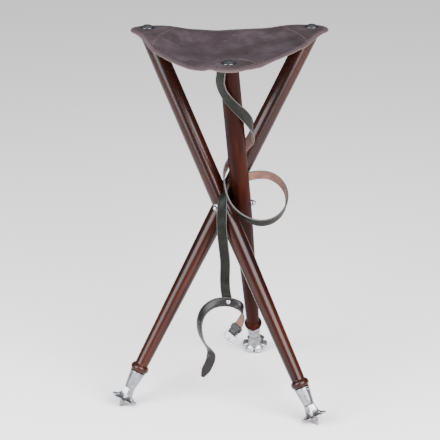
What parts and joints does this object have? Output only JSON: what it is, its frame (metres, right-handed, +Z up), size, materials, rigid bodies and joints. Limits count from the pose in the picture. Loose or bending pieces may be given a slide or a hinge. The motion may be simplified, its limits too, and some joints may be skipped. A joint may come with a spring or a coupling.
{
  "type": "folding tripod stool",
  "caption": "Folding field stool: crossed turned wooden legs on a hub bolt, leather sling seat, spiked metal feet and a wound carry strap.",
  "frame": {"origin": "on the ground at the middle of the open stool's own width and depth, without the hanging strap", "axes": "+Z up; the front leg's top points to -Y and its foot to +Y; +X to the right as seen from the front"},
  "size_m": [0.3912, 0.4183, 0.6724],
  "materials": {
    "varnished_wood": "glossy mahogany-coloured varnish",
    "cast_aluminium": "polished casting",
    "spike_steel": "worn steel",
    "nickel_steel": "polished nickel plate",
    "seat_leather": "worn satin leather",
    "strap_leather": "smooth dark grain outside, brown flesh side"
  },
  "bodies": {
    "hub": {"hub_bolt": "nickel_steel", "hub_washers": "nickel_steel", "hub_cap_nuts": "nickel_steel", "seat_leather": "seat_leather", "carry_strap": "strap_leather", "tie_belt": "strap_leather", "belt_rivet": "nickel_steel", "belt_keeper": "strap_leather"},
    "leg_front": {"front_leg": "varnished_wood", "front_ferrule": "cast_aluminium", "front_ferrule_nails": "nickel_steel", "front_foot_casting": "cast_aluminium", "front_ground_spike": "spike_steel", "front_corner_patch": "seat_leather", "front_seat_cup_washer": "nickel_steel", "front_seat_screw": "nickel_steel"},
    "leg_left": {"left_leg": "varnished_wood", "left_ferrule": "cast_aluminium", "left_ferrule_nails": "nickel_steel", "left_foot_casting": "cast_aluminium", "left_ground_spike": "spike_steel", "left_corner_patch": "seat_leather", "left_seat_cup_washer": "nickel_steel", "left_seat_screw": "nickel_steel"},
    "leg_right": {"right_leg": "varnished_wood", "right_ferrule": "cast_aluminium", "right_ferrule_nails": "nickel_steel", "right_foot_casting": "cast_aluminium", "right_ground_spike": "spike_steel", "right_corner_patch": "seat_leather", "right_seat_cup_washer": "nickel_steel", "right_seat_screw": "nickel_steel"},
    "buckle": {"buckle_frame": "nickel_steel"},
    "prong": {"buckle_prong": "nickel_steel"}
  },
  "joints": [
    {"name": "leg_front_fold", "type": "hinge", "parent": "hub", "child": "leg_front", "pos_m": [0.0312, -0.01268, 0.3686], "axis": [-1, 0, 0], "range_deg": [0, 26.3], "deforming": ["seat_leather", "front_corner_patch", "carry_strap", "tie_belt"]},
    {"name": "leg_left_fold", "type": "hinge", "parent": "hub", "child": "leg_left", "pos_m": [0, -0.03069, 0.3686], "axis": [0.5, 0.866, 0], "range_deg": [0, 26.3], "deforming": ["left_corner_patch"]},
    {"name": "leg_right_fold", "type": "hinge", "parent": "hub", "child": "leg_right", "pos_m": [0, 0.00533, 0.3686], "axis": [0.5, -0.866, 0], "range_deg": [0, 26.3], "deforming": ["right_corner_patch"]},
    {"name": "buckle_swing", "type": "hinge", "parent": "hub", "child": "buckle", "pos_m": [0.02226, -0.07194, 0.14253], "axis": [0.7809, -0.4012, -0.4789], "range_deg": [-30, 30]},
    {"name": "prong_lift", "type": "hinge", "parent": "buckle", "child": "prong", "pos_m": [0.02226, -0.07194, 0.14253], "axis": [0.7809, -0.4012, -0.4789], "range_deg": [0, 75]}
  ],
  "couplings": [
    {"joint": "leg_left_fold", "follows": "leg_front_fold", "ratio": 1},
    {"joint": "leg_right_fold", "follows": "leg_front_fold", "ratio": 1}
  ]
}
